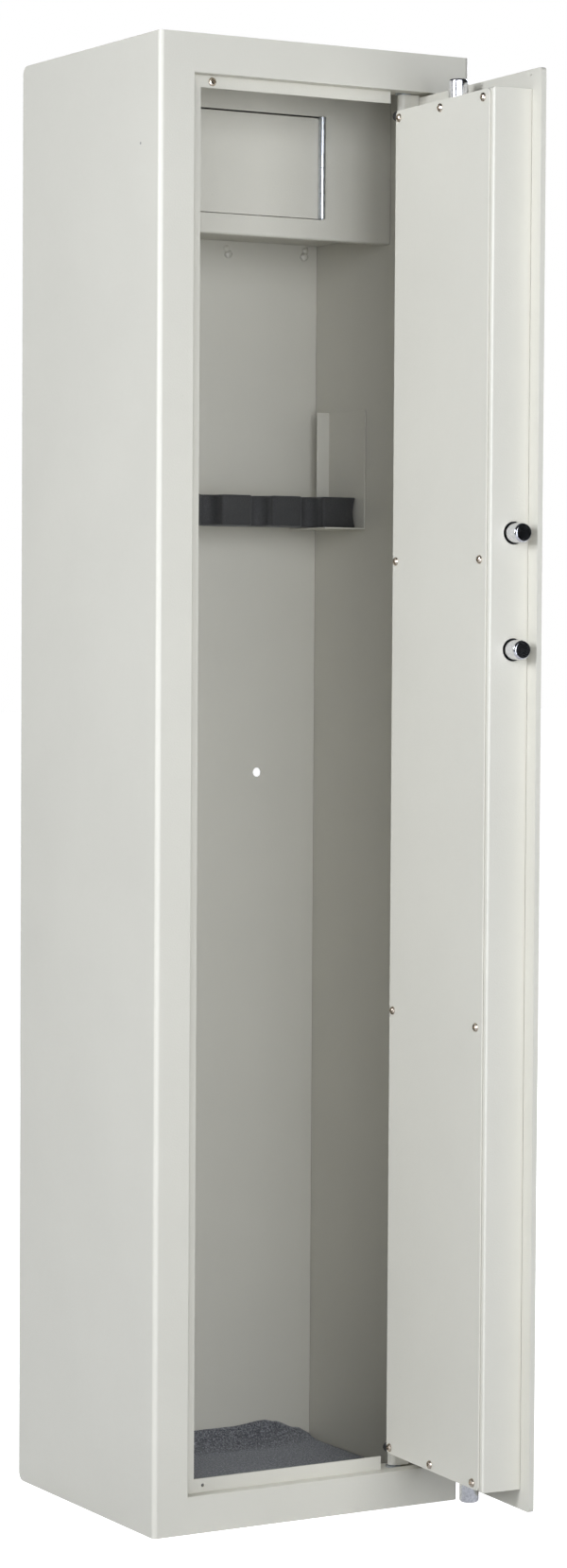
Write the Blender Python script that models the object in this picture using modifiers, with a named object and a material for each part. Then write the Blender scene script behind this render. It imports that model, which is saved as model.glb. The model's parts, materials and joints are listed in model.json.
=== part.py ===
"""Tall five-gun safe with its door standing open.

Frame: metres, +Z up, +X to the right of someone facing the safe, +Y towards its back.
The origin is the centre of the underside. Door pieces are laid out as if the door were shut,
and the door_pivot empty, which stands on the hinge axis, swings them to the open rest angle.
"""

import math

import bmesh
import bpy
from mathutils import Vector

# ---- cabinet ----------------------------------------------------------------
WIDTH = 0.362
DEPTH = 0.304
HEIGHT = 1.500
SHEET = 0.002
FRONT_BEND = 0.005
BACK_BEND = 0.009
STILE = 0.0399
SILL = 0.0381
HEADER = 0.0391
RETURN_DEPTH = 0.0137
LIP = 0.0137
LIP_TOP = 0.0120
LIP_BOTTOM = 0.0139
LIP_END_X = 0.0945
FIXING_X = 0.1064
FIXING_Z = 0.7528
FIXING_R = 0.005
GAP = 0.0003

# ---- door, measured with the door shut ----------------------------------------
DOOR_ANGLE = 86.0
HINGE_X = 0.1181
HINGE_Y = -0.1245
PLATE_GAP = 0.0025
PLATE_RECESS = 0.006
PLATE_T = 0.0055
PLATE_CORNER = 0.004
BOX_HINGE_X = 0.0790
BOX_LOCK_X = -0.1209
BOX_DEPTH = 0.0503
BOX_Z0 = 0.0605
BOX_Z1 = 1.4390
BOX_T = 0.0015
COVER_LOCK_X = -0.1155
COVER_T = 0.0015
COVER_Z0 = 0.0615
COVER_Z1 = 1.4380
SCREW_X = (0.0714, -0.0158, -0.1038)
SCREW_Z = (0.0680, 0.5203, 0.9804, 1.4303)

# ---- locking mechanism -----------------------------------------------------------
SPINDLE_X = -0.0165
SPINDLE_Z = 0.94925
PIN_RING = 0.0113137
PIN_R = 0.0025
BOLT_R = 0.00975
BOLT_HOLE_R = 0.01125
SIDE_BOLT_DZ = 0.05715
SIDE_BOLT_DEPTH = 0.022
SIDE_BOLT_TIP_X = -0.1409
ROD_DEPTH = 0.0305
TOP_BOLT_TIP_Z = 1.4594
BOTTOM_BOLT_TIP_Z = 0.0386
BOTTOM_BOLT_X = -0.0620
KEY_Z = 1.072

# ---- locker and rack ---------------------------------------------------------------
LOCKER_Y = -0.003
LOCKER_Z = 1.3207
LOCKER_SHEET = 0.0015
LOCKER_RETURN = 0.0140
SHELF_RISE = 0.0105
LOCKER_DOOR_Z0 = 1.3422
LOCKER_DOOR_Z1 = 1.4500
LOCKER_DOOR_X0 = -0.1060
LOCKER_HINGE_X = 0.0917
LOCKER_HINGE_Y = -0.0066
KNUCKLE_R = 0.0037
KNUCKLES = 8
REST_Y = 0.0585
REST_Z0 = 1.0205
REST_Z1 = 1.0530
NOTCH_PITCH = 0.062
NOTCH_SHIFT = -0.0025
NOTCH_R = 0.012
NOTCH_DEPTH = 0.021

HALF_W = WIDTH / 2
FRONT = -DEPTH / 2
BACK = DEPTH / 2
OPEN_X = HALF_W - STILE
OPEN_Z1 = HEIGHT - HEADER
LIP_Y = FRONT + RETURN_DEPTH
PLATE_X = OPEN_X - PLATE_GAP
PLATE_Z0 = SILL + PLATE_GAP
PLATE_Z1 = OPEN_Z1 - PLATE_GAP
PLATE_Y = FRONT + PLATE_RECESS
INNER_Y = PLATE_Y + PLATE_T


# ---- scene and helpers --------------------------------------------------------------
for old in list(bpy.data.objects):
    bpy.data.objects.remove(old, do_unlink=True)

SAFE = bpy.data.collections.new("gun_safe")
CUTTERS = bpy.data.collections.new("cutters")
bpy.context.scene.collection.children.link(SAFE)
bpy.context.scene.collection.children.link(CUTTERS)


def material(name, colour, roughness, metallic):
    """A Principled material for one kind of finish."""
    mat = bpy.data.materials.new(name)
    mat.use_nodes = True
    shader = mat.node_tree.nodes["Principled BSDF"]
    shader.inputs["Base Color"].default_value = (*colour, 1.0)
    shader.inputs["Roughness"].default_value = roughness
    shader.inputs["Metallic"].default_value = metallic
    mat.diffuse_color = (*colour, 1.0)
    return mat


PAINT = (0.63, 0.625, 0.58)
FINISH = {
    "paint": (PAINT, 0.45, 0.0),
    "door_paint": (PAINT, 0.45, 0.0),
    "chrome": ((0.80, 0.80, 0.81), 0.12, 1.0),
    "zinc": ((0.72, 0.74, 0.76), 0.30, 1.0),
    "steel": ((0.56, 0.57, 0.58), 0.38, 1.0),
    "nickel": ((0.70, 0.64, 0.56), 0.28, 1.0),
    "brass": ((0.72, 0.55, 0.25), 0.30, 1.0),
    "foam": ((0.030, 0.030, 0.028), 0.85, 0.0),
    "felt": ((0.20, 0.20, 0.21), 0.95, 0.0),
    "rubber": ((0.012, 0.012, 0.012), 0.60, 0.0),
    "black_plastic": ((0.020, 0.020, 0.022), 0.40, 0.0),
}


def own(obj, name, finish, parent=None):
    """Name an object, give it its own material, its collection and its parent."""
    obj.name = name
    obj.data.name = name
    obj.data.materials.clear()
    colour, roughness, metallic = FINISH[finish]
    obj.data.materials.append(material(name + "_" + finish, colour, roughness, metallic))
    link(obj, SAFE)
    if parent is not None:
        obj.parent = parent
        obj.location = obj.location - SHUT_PLACE[parent.name]
    return obj


def link(obj, collection):
    for coll in list(obj.users_collection):
        coll.objects.unlink(obj)
    collection.objects.link(obj)


SHUT_PLACE = {}


def pivot(name, location, parent=None, angle=0.0):
    """An empty on a joint axis. SHUT_PLACE keeps where it stands while the door is shut."""
    empty = bpy.data.objects.new(name, None)
    empty.empty_display_size = 0.03
    SAFE.objects.link(empty)
    place = Vector(location)
    SHUT_PLACE[name] = place
    empty.location = place
    if parent is not None:
        empty.parent = parent
        empty.location = place - SHUT_PLACE[parent.name]
    empty.rotation_euler = (0.0, 0.0, math.radians(angle))
    return empty


def apply_scale(obj):
    for vert in obj.data.vertices:
        vert.co.x *= obj.scale.x
        vert.co.y *= obj.scale.y
        vert.co.z *= obj.scale.z
    obj.scale = (1.0, 1.0, 1.0)


def block(x, y, z):
    """A box between two x, two y and two z values."""
    centre = [(a + b) / 2 for a, b in (x, y, z)]
    bpy.ops.mesh.primitive_cube_add(size=1.0, location=centre)
    obj = bpy.context.active_object
    obj.scale = [b - a for a, b in (x, y, z)]
    apply_scale(obj)
    return obj


AXIS_TURN = {
    "X": (0.0, math.pi / 2, 0.0),
    "Y": (-math.pi / 2, 0.0, 0.0),
    "Z": (0.0, 0.0, 0.0),
}


def rod(axis, start, end, across, radius, sides=32):
    """A cylinder along one axis, at the two other coordinates given in order."""
    centre = list(across)
    centre.insert("XYZ".index(axis), (start + end) / 2)
    bpy.ops.mesh.primitive_cylinder_add(
        vertices=sides,
        radius=radius,
        depth=end - start,
        location=centre,
        rotation=AXIS_TURN[axis],
    )
    obj = bpy.context.active_object
    smooth(obj)
    return obj


def smooth(obj, angle=30.0):
    obj.data.shade_smooth()
    obj.data.set_sharp_from_angle(angle=math.radians(angle))


def turned(profile, axis, origin, steps=32, ring=False):
    """A turned piece: (radius, height) points down its outer side, spun about one axis."""
    mesh = bpy.data.meshes.new("turned")
    obj = bpy.data.objects.new("turned", mesh)
    CUTTERS.objects.link(obj)
    bm = bmesh.new()
    verts = [bm.verts.new((radius, 0.0, height)) for radius, height in profile]
    for first, second in zip(verts, verts[1:]):
        bm.edges.new((first, second))
    if ring:
        bm.edges.new((verts[-1], verts[0]))
    bm.to_mesh(mesh)
    bm.free()
    screw = obj.modifiers.new("turn", "SCREW")
    screw.steps = steps
    screw.render_steps = steps
    screw.use_merge_vertices = True
    screw.merge_threshold = 0.00001
    obj.rotation_euler = AXIS_TURN[axis]
    obj.location = origin
    solid = to_mesh(obj)
    smooth(solid)
    return solid


def outline(loops, thickness, plane, level):
    """A flat plate: closed loops of points in a plane, inner loops being holes."""
    curve = bpy.data.curves.new("outline", "CURVE")
    curve.dimensions = "2D"
    curve.fill_mode = "BOTH"
    curve.extrude = thickness / 2
    for loop in loops:
        spline = curve.splines.new("POLY")
        spline.points.add(len(loop) - 1)
        for point, (a, b) in zip(spline.points, loop):
            point.co = (a, b, 0.0, 1.0)
        spline.use_cyclic_u = True
    obj = bpy.data.objects.new("outline", curve)
    CUTTERS.objects.link(obj)
    if plane == "XY":
        obj.location = (0.0, 0.0, level)
    if plane == "XZ":
        obj.rotation_euler = (math.pi / 2, 0.0, 0.0)
        obj.location = (0.0, level, 0.0)
    if plane == "YZ":
        obj.rotation_euler = (math.pi / 2, 0.0, math.pi / 2)
        obj.location = (level, 0.0, 0.0)
    return to_mesh(obj)


def to_mesh(obj):
    """Replace an object by the mesh it evaluates to, with loose caps welded."""
    bpy.context.view_layer.update()
    graph = bpy.context.evaluated_depsgraph_get()
    mesh = bpy.data.meshes.new_from_object(obj.evaluated_get(graph))
    bm = bmesh.new()
    bm.from_mesh(mesh)
    bmesh.ops.remove_doubles(bm, verts=bm.verts, dist=0.000001)
    bm.to_mesh(mesh)
    bm.free()
    solid = bpy.data.objects.new("solid", mesh)
    solid.matrix_world = obj.matrix_world
    obj.users_collection[0].objects.link(solid)
    bpy.data.objects.remove(obj, do_unlink=True)
    return solid


def combine(obj, others, operation):
    """Join or cut a solid with others, and bake the result."""
    for other in others:
        link(other, CUTTERS)
        other.hide_render = True
        other.display_type = "WIRE"
        mod = obj.modifiers.new(operation.lower(), "BOOLEAN")
        mod.operation = operation
        mod.solver = "EXACT"
        mod.object = other
    solid = to_mesh(obj)
    for other in others:
        bpy.data.objects.remove(other, do_unlink=True)
    return solid


def cut(obj, *cutters):
    return combine(obj, cutters, "DIFFERENCE")


def join(obj, *others):
    return combine(obj, others, "UNION")


def bevel_where(obj, test, width, segments=3):
    """Round only the edges whose two ends, in world space, pass a test."""
    bm = bmesh.new()
    bm.from_mesh(obj.data)
    world = obj.matrix_world
    edges = [
        edge
        for edge in bm.edges
        if all(test(world @ vert.co) for vert in edge.verts)
        and edge.calc_face_angle(0.0) > math.radians(30.0)
    ]
    bmesh.ops.bevel(
        bm,
        geom=edges,
        offset=width,
        segments=segments,
        profile=0.5,
        affect="EDGES",
        clamp_overlap=True,
    )
    bm.to_mesh(obj.data)
    bm.free()
    return obj


def arc(centre, radius, start, end, steps=6):
    """Points on an arc, both ends included, angles in degrees."""
    points = []
    for i in range(steps + 1):
        a = math.radians(start + (end - start) * i / steps)
        points.append((centre[0] + radius * math.cos(a), centre[1] + radius * math.sin(a)))
    return points


def circle(centre, radius, sides=24):
    return arc(centre, radius, 0.0, 360.0 * (sides - 1) / sides, sides - 1)


def rounded_rect(a0, a1, b0, b1, radius, steps=4):
    points = []
    points += arc((a1 - radius, b1 - radius), radius, 0, 90, steps)
    points += arc((a0 + radius, b1 - radius), radius, 90, 180, steps)
    points += arc((a0 + radius, b0 + radius), radius, 180, 270, steps)
    points += arc((a1 - radius, b0 + radius), radius, 270, 360, steps)
    return points


# ---- pivots ---------------------------------------------------------------------------
door_pivot = pivot("door_pivot", (HINGE_X, HINGE_Y, 0.0), None, DOOR_ANGLE)
handle_pivot = pivot("handle_pivot", (SPINDLE_X, PLATE_Y, SPINDLE_Z), door_pivot)
key_pivot = pivot("key_pivot", (SPINDLE_X, PLATE_Y, KEY_Z), door_pivot)
locker_pivot = pivot("locker_pivot", (LOCKER_HINGE_X, LOCKER_HINGE_Y, LOCKER_DOOR_Z0))
CAM_X = LOCKER_DOOR_X0 + 0.0175
CAM_Z = (LOCKER_DOOR_Z0 + LOCKER_DOOR_Z1) / 2
cam_pivot = pivot("cam_pivot", (CAM_X, LOCKER_Y, CAM_Z), locker_pivot)


# ---- cabinet: front and sides, one sheet bent to a U ---------------------------------------
def front_and_sides():
    inner = FRONT_BEND - SHEET
    corner = (HALF_W - FRONT_BEND, FRONT + FRONT_BEND)
    outer = arc((-corner[0], corner[1]), FRONT_BEND, 180, 270)
    outer += arc(corner, FRONT_BEND, 270, 360)
    back = arc(corner, inner, 360, 270)
    back += arc((-corner[0], corner[1]), inner, 270, 180)
    loop = [(-HALF_W, BACK)] + outer + [(HALF_W, BACK), (HALF_W - SHEET, BACK)]
    loop += back + [(-HALF_W + SHEET, BACK)]
    sheet = outline([loop], HEIGHT, "XY", HEIGHT / 2)
    frame = block(
        (-OPEN_X - SHEET, OPEN_X),
        (FRONT + 0.001, LIP_Y + SHEET),
        (SILL - SHEET, OPEN_Z1 + SHEET),
    )
    sheet = join(sheet, frame)
    opening = block((-OPEN_X, OPEN_X), (FRONT - 0.05, LIP_Y), (SILL, OPEN_Z1))
    mouth = block(
        (-OPEN_X + LIP, LIP_END_X),
        (FRONT - 0.05, LIP_Y + 0.03),
        (SILL + LIP_BOTTOM, OPEN_Z1 - LIP_TOP),
    )
    notch = block(
        (LIP_END_X, OPEN_X + 0.01),
        (LIP_Y - 0.001, LIP_Y + 0.03),
        (SILL, OPEN_Z1),
    )
    drilled = rod("Y", LIP_Y - 0.01, LIP_Y + 0.01, (-0.1171, 0.0450), 0.00175, 16)
    tapped = rod("Y", LIP_Y - 0.01, LIP_Y + 0.01, (-0.1145, 1.4550), 0.0023, 16)
    corners = []
    bend_y = BACK - BACK_BEND
    for end_z, bend_z in ((-0.01, BACK_BEND), (HEIGHT + 0.01, HEIGHT - BACK_BEND)):
        chunk = block(
            (-HALF_W - 0.01, HALF_W + 0.01),
            (bend_y, BACK + 0.01),
            (min(end_z, bend_z), max(end_z, bend_z)),
        )
        keep = rod("X", -HALF_W - 0.02, HALF_W + 0.02, (bend_y, bend_z), BACK_BEND, 32)
        corners.append(cut(chunk, keep))
    sheet = cut(sheet, opening, mouth, notch, drilled, tapped, *corners)

    def on_mouth_edge(p):
        beside = abs(p.x) < OPEN_X + 1e-4
        between = SILL - 1e-4 < p.z < OPEN_Z1 + 1e-4
        return abs(p.y - FRONT) < 1e-5 and beside and between

    bevel_where(sheet, on_mouth_edge, 0.0015)
    smooth(sheet)
    return own(sheet, "body_front_sides", "paint")


# ---- cabinet: top, back and bottom, the second bent sheet ----------------------------------
def back_wrap():
    inner = BACK_BEND - SHEET
    front = FRONT + SHEET + GAP
    top_c = (BACK - BACK_BEND, HEIGHT - BACK_BEND)
    low_c = (BACK - BACK_BEND, BACK_BEND)
    loop = [(front, 0.0)] + arc(low_c, BACK_BEND, 270, 360, 8)
    loop += arc(top_c, BACK_BEND, 0, 90, 8) + [(front, HEIGHT)]
    loop += [(front, HEIGHT - SHEET)] + arc(top_c, inner, 90, 0, 8)
    loop += arc(low_c, inner, 360, 270, 8) + [(front, SHEET)]
    width = WIDTH - 2 * SHEET - 2 * GAP
    sheet = outline([loop], width, "YZ", 0.0)
    holes = []
    corners = []
    for side in (-1, 1):
        holes.append(rod("Y", BACK - 0.01, BACK + 0.01, (side * FIXING_X, FIXING_Z), FIXING_R, 24))
        x = side * (HALF_W - FRONT_BEND)
        far = x + side * FRONT_BEND
        chunk = block((min(x, far), max(x, far)), (FRONT, FRONT + FRONT_BEND), (-0.01, HEIGHT + 0.01))
        keep = rod("Z", -0.02, HEIGHT + 0.02, (x, FRONT + FRONT_BEND), FRONT_BEND - SHEET - GAP, 24)
        corners.append(cut(chunk, keep))
    sheet = cut(sheet, *holes, *corners)
    smooth(sheet)
    return own(sheet, "body_top_back_bottom", "paint")


def screw_mesh():
    """A pan-head screw with a cross recess; its seat is at z = 0 and its head is on +Z."""
    head = turned(
        [
            (0.0, 0.0026),
            (0.0024, 0.0025),
            (0.0038, 0.0016),
            (0.0044, 0.0004),
            (0.0044, 0.0),
            (0.0019, 0.0),
            (0.0019, -0.0058),
            (0.0, -0.0064),
        ],
        "Z",
        (0.0, 0.0, 0.0),
        14,
    )
    slots = [
        block((-0.0021, 0.0021), (-0.00045, 0.00045), (0.0010, 0.0040)),
        block((-0.00045, 0.00045), (-0.0021, 0.0021), (0.0010, 0.0040)),
    ]
    return cut(head, join(slots[0], slots[1]))


def screw(name, location, facing, parent=None, turn=0.0, flatten=1.0):
    """A screw whose head faces along +Y (facing 1) or -Y (facing -1)."""
    obj = screw_mesh()
    obj.scale = (1.0, 1.0, flatten)
    apply_scale(obj)
    obj.rotation_euler = (-facing * math.pi / 2, math.radians(turn), 0.0)
    obj.location = location
    smooth(obj)
    return own(obj, name, "nickel", parent)


# ---- hinges -----------------------------------------------------------------------------
def mirror_z(values):
    """The matching heights at the other end of the door."""
    total = PLATE_Z0 + PLATE_Z1
    return tuple(sorted(total - v for v in values))


def hinge(end):
    flip = (lambda v: v) if end == "top" else mirror_z
    low, high = flip((1.4632, 1.4682))
    bend = (HALF_W - FRONT_BEND, FRONT + FRONT_BEND)
    loop = [(0.1000, -0.1060), (0.1000, FRONT + SHEET + GAP)]
    loop += arc(bend, FRONT_BEND - SHEET - GAP, 270, 360, 4)
    loop += [(HALF_W - SHEET - GAP, -0.1060)]
    plate = outline([loop], high - low, "XY", (low + high) / 2)
    hole = rod("Z", low - 0.01, high + 0.01, (HINGE_X, HINGE_Y), 0.0043, 24)
    plate = cut(plate, hole)
    own(plate, "hinge_bracket_" + end, "paint")

    heights = flip((1.4435, 1.4686))
    shank = rod("Z", heights[0], heights[1], (HINGE_X, HINGE_Y), 0.0040, 24)
    cap = flip((1.4685, 1.4715))
    shank = join(shank, rod("Z", cap[0], cap[1], (HINGE_X, HINGE_Y), 0.0070, 24))
    smooth(shank)
    own(shank, "hinge_pin_" + end, "zinc")

    ring = flip((1.4609, 1.4629))
    profile = [(0.0080, ring[1]), (0.0080, ring[0]), (0.0043, ring[0]), (0.0043, ring[1])]
    washer = turned(profile, "Z", (HINGE_X, HINGE_Y, 0.0), 24, True)
    own(washer, "hinge_washer_" + end, "zinc")

    bar = flip((1.4445, 1.4606))
    loop = [(HINGE_X - 0.006, INNER_Y + GAP), (HINGE_X + 0.006, INNER_Y + GAP)]
    loop += arc((HINGE_X, HINGE_Y), 0.006, 0, 180, 12)
    strap = outline([loop, circle((HINGE_X, HINGE_Y), 0.0043)], bar[1] - bar[0], "XY", sum(bar) / 2)
    smooth(strap)
    own(strap, "hinge_strap_" + end, "door_paint", door_pivot)

    bump_z = flip((1.4340, 1.4340))[0]
    dome = [(0.0, 0.0122), (0.0026, 0.0120), (0.0042, 0.0108), (0.0050, 0.0088), (0.0050, 0.0), (0.0, 0.0)]
    bumper = turned(
        dome,
        "X",
        (BOX_HINGE_X + GAP, INNER_Y + 0.0388, bump_z),
        20,
    )
    own(bumper, "door_bumper_" + end, "rubber", door_pivot)


# ---- door shell ---------------------------------------------------------------------------
def door_shell():
    border = rounded_rect(-PLATE_X, PLATE_X, PLATE_Z0, PLATE_Z1, PLATE_CORNER)
    holes = [
        circle((SPINDLE_X, SPINDLE_Z), 0.0064),
        circle((SPINDLE_X, KEY_Z), 0.0046),
        circle((-0.1179, 1.4529), 0.0012, 12),
    ]
    plate = outline([border] + holes, PLATE_T, "XZ", PLATE_Y + PLATE_T / 2)
    smooth(plate)
    own(plate, "door_plate", "door_paint", door_pivot)

    outer_y = PLATE_Y + BOX_DEPTH - COVER_T - GAP
    pan = block((BOX_LOCK_X, BOX_HINGE_X), (INNER_Y + GAP, outer_y), (BOX_Z0, BOX_Z1))
    bevel_where(pan, lambda p: p.y > outer_y - 1e-5, 0.0025, 3)
    inside = block(
        (BOX_LOCK_X + BOX_T, BOX_HINGE_X - BOX_T),
        (INNER_Y - 0.01, outer_y - BOX_T),
        (BOX_Z0 + BOX_T, BOX_Z1 - BOX_T),
    )
    window = block(
        (BOX_LOCK_X + 0.022, BOX_HINGE_X - 0.014),
        (outer_y - 0.01, outer_y + 0.01),
        (BOX_Z0 + 0.014, BOX_Z1 - 0.014),
    )
    side_y = PLATE_Y + SIDE_BOLT_DEPTH
    end_y = PLATE_Y + ROD_DEPTH
    bores = []
    for sign in (-1, 1):
        z = SPINDLE_Z + sign * SIDE_BOLT_DZ
        bores.append(rod("X", BOX_LOCK_X - 0.01, BOX_LOCK_X + 0.01, (side_y, z), BOLT_HOLE_R))
    for x, z in ((BOTTOM_BOLT_X, BOX_Z0), (SPINDLE_X, BOX_Z1)):
        bores.append(rod("Z", z - 0.01, z + 0.01, (x, end_y), BOLT_HOLE_R))
    taps = []
    for x, z in screw_places():
        taps.append(rod("Y", outer_y - 0.01, outer_y + 0.01, (x, z), 0.0023, 12))
    pan = cut(pan, inside, window, *bores, *taps)
    smooth(pan)
    own(pan, "door_box", "door_paint", door_pivot)

    border = rounded_rect(COVER_LOCK_X, BOX_HINGE_X, COVER_Z0, COVER_Z1, 0.005)
    holes = [circle((x, z), 0.0023, 12) for x, z in screw_places()]
    cover_y = PLATE_Y + BOX_DEPTH
    cover = outline([border] + holes, COVER_T, "XZ", cover_y - COVER_T / 2)
    smooth(cover)
    own(cover, "door_cover", "door_paint", door_pivot)
    for i, (x, z) in enumerate(screw_places()):
        screw("cover_screw_%02d" % (i + 1), (x, cover_y + GAP, z), 1, door_pivot, 17.0 + 41.0 * i)


def screw_places():
    """Three screws at each end of the cover and two at each height between."""
    places = []
    for row, z in enumerate(SCREW_Z):
        columns = SCREW_X if row in (0, 3) else (SCREW_X[0], SCREW_X[2])
        places += [(x, z) for x in columns]
    return places


# ---- locking mechanism ------------------------------------------------------------------------
def at_spindle(points):
    """Points given as (towards the lock side, up) from the spindle, in mm, as (x, z)."""
    return [(SPINDLE_X - u / 1000.0, SPINDLE_Z + v / 1000.0) for u, v in points]


def depth(mm):
    """A y value that many mm behind the door plate's outer face."""
    return PLATE_Y + mm / 1000.0


def handle():
    ring = turned(
        [(0.026, 0.0), (0.0066, 0.0), (0.0066, 0.0045), (0.024, 0.0045), (0.026, 0.0025)],
        "Y",
        (SPINDLE_X, PLATE_Y - GAP, SPINDLE_Z),
        32,
        True,
    )
    ring.rotation_euler = (math.pi / 2, 0.0, 0.0)
    smooth(ring)
    own(ring, "handle_rose", "chrome", door_pivot)


def spindle_set():
    front = depth(-38.0)
    shaft = rod("Y", depth(-12.0), depth(16.0), (SPINDLE_X, SPINDLE_Z), 0.0060, 32)
    shaft = join(shaft, rod("Y", depth(15.0), depth(33.5), (SPINDLE_X, SPINDLE_Z), 0.0040, 24))
    smooth(shaft)
    own(shaft, "handle_spindle", "steel", handle_pivot)

    hub = rod("Y", front, depth(-5.1), (SPINDLE_X, SPINDLE_Z), 0.0140, 32)
    reach = 105.0
    grip = at_spindle(
        arc((0.0, 0.0), 14.0, -10, 190, 12) + arc((0.0, 9.0 - reach), 9.0, 175, 365, 10)
    )
    lever = outline([grip], 0.012, "XZ", front + 0.006)
    lever = join(lever, hub)
    lever = cut(lever, rod("Y", depth(-12.3), depth(0.0), (SPINDLE_X, SPINDLE_Z), 0.0063, 32))
    bevel_where(lever, lambda p: p.y < front + 1e-5, 0.003, 3)
    smooth(lever)
    own(lever, "handle_lever", "chrome", handle_pivot)

    disc = outline(
        [circle((SPINDLE_X, SPINDLE_Z), 0.017, 28), circle((SPINDLE_X, SPINDLE_Z), 0.0043, 16)],
        0.003,
        "XZ",
        depth(25.0),
    )
    half = PIN_RING * math.sqrt(0.5) * 1000.0
    rod_pins = (26.0, 33.5)
    carrier_pin = (16.6, 24.0)
    pins = []
    for u, v, span in ((half, half, rod_pins), (-half, -half, rod_pins), (half, -half, carrier_pin)):
        place = at_spindle([(u, v)])[0]
        pins.append(rod("Y", depth(span[0]), depth(span[1]), place, PIN_R, 14))
    disc = join(disc, *pins)
    smooth(disc)
    own(disc, "drive_cam", "zinc", handle_pivot)

    bush = turned(
        [(0.010, 0.0103), (0.010, 0.0), (0.0063, 0.0), (0.0063, 0.0103)],
        "Y",
        (SPINDLE_X, INNER_Y + GAP, SPINDLE_Z),
        32,
        True,
    )
    own(bush, "spindle_bush", "brass", door_pivot)


def side_bolts():
    """The carrier: an upright bar behind both side bolts, with a forked arm over its cam pin."""
    bar_x = (SPINDLE_X - 0.050, SPINDLE_X - 0.045)
    bar = block(bar_x, (depth(11.5), depth(32.5)), (SPINDLE_Z - 0.069, SPINDLE_Z + 0.069))
    arm = outline(
        [
            at_spindle(
                [
                    (1.0, -20.0),
                    (46.0, -20.0),
                    (46.0, -5.0),
                    (11.1, -5.0),
                    (11.1, -14.6),
                    (4.9, -14.6),
                    (4.9, -5.0),
                    (1.0, -5.0),
                ]
            )
        ],
        0.004,
        "XZ",
        depth(19.5),
    )
    carrier = join(bar, arm)
    own(carrier, "bolt_carrier", "zinc", door_pivot)
    for name, sign in (("side_bolt_upper", 1), ("side_bolt_lower", -1)):
        z = SPINDLE_Z + sign * SIDE_BOLT_DZ
        length = (SPINDLE_X - 0.050 - GAP) - SIDE_BOLT_TIP_X
        bolt = bolt_shape(length, "X", (SPINDLE_X - 0.050 - GAP, depth(22.0), z), -1)
        own(bolt, name, "chrome", door_pivot)

    tall = (SPINDLE_Z - 0.085, SPINDLE_Z + 0.085)
    guide = block((-0.1010, -0.0990), (depth(5.8), depth(35.5)), tall)
    foot = block((-0.1010, -0.0860), (depth(5.8), depth(7.8)), tall)
    guide = join(guide, foot)
    bores = []
    for sign in (-1, 1):
        z = SPINDLE_Z + sign * SIDE_BOLT_DZ
        bores.append(rod("X", -0.11, -0.09, (depth(22.0), z), BOLT_R + 0.0005))
    guide = cut(guide, *bores)
    own(guide, "side_bolt_guide", "zinc", door_pivot)


def bolt_shape(length, axis, root, direction):
    """A round bolt with a chamfered tip, from its root along one axis."""
    chamfer = 0.0016
    profile = [
        (0.0, length),
        (BOLT_R - chamfer, length),
        (BOLT_R, length - chamfer),
        (BOLT_R, 0.0),
        (0.0, 0.0),
    ]
    bolt = turned(profile, axis, root, 32)
    if direction < 0:
        turns = {"X": (0.0, -math.pi / 2, 0.0), "Z": (math.pi, 0.0, 0.0)}
        bolt.rotation_euler = turns[axis]
    return bolt


# Towards the lock side and up from the spindle, in mm: the fork that rides on a cam pin.
ROD_HOOK = (
    (6.0, -1.0),
    (21.0, -1.0),
    (21.0, 30.0),
    (10.0, 40.0),
)
ROD_HOOK_INNER = (
    (-10.0, 36.0),
    (4.0, 26.0),
    (6.0, 22.0),
    (6.0, 11.1),
    (14.6, 11.1),
    (14.6, 4.9),
    (6.0, 4.9),
)


def rods():
    """Two flat rods whose forks ride on the cam pins, each with a round end bolt.

    The bottom rod is cranked towards the lock side, because its bolt stands nearer to the lock edge.
    """
    top_reach = (1.3847 - SPINDLE_Z) * 1000.0
    low_reach = (SPINDLE_Z - 0.1120) * 1000.0
    crank = (SPINDLE_X - BOTTOM_BOLT_X) * 1000.0
    crank_from, crank_to = low_reach - 148.0, low_reach - 88.0
    straight = [(10.0, top_reach), (-10.0, top_reach)]
    cranked = [
        (10.0, crank_from + 6.0),
        (10.0 - crank, crank_to + 6.0),
        (10.0 - crank, low_reach),
        (-10.0 - crank, low_reach),
        (-10.0 - crank, crank_to - 6.0),
        (-10.0, crank_from - 6.0),
    ]
    upper = list(ROD_HOOK) + straight + list(ROD_HOOK_INNER)
    lower = [(-u, -v) for u, v in list(ROD_HOOK) + cranked + list(ROD_HOOK_INNER)]
    for end, points in (("top", upper), ("bottom", lower)):
        flat = outline([at_spindle(points)], 0.004, "XZ", depth(30.5))
        own(flat, end + "_rod", "zinc", door_pivot)
    top = bolt_shape(TOP_BOLT_TIP_Z - 1.3850, "Z", (SPINDLE_X, depth(30.5), 1.3850), 1)
    own(top, "top_bolt", "chrome", door_pivot)
    low = bolt_shape(0.1117 - BOTTOM_BOLT_TIP_Z, "Z", (BOTTOM_BOLT_X, depth(30.5), 0.1117), -1)
    own(low, "bottom_bolt", "chrome", door_pivot)
    for end, z in (("top", 1.2500), ("bottom", 0.3000)):
        def across(half):
            return (SPINDLE_X - half, SPINDLE_X + half)

        through = (z - 0.02, z + 0.02)
        guide = block(across(0.016), (depth(5.8), depth(36.0)), (z - 0.008, z + 0.008))
        slot = block(across(0.0105), (depth(28.0), depth(33.0)), through)
        hollow = block(across(0.0120), (depth(8.5), depth(25.0)), through)
        guide = cut(guide, slot, hollow)
        own(guide, "rod_guide_" + end, "black_plastic", door_pivot)


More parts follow.
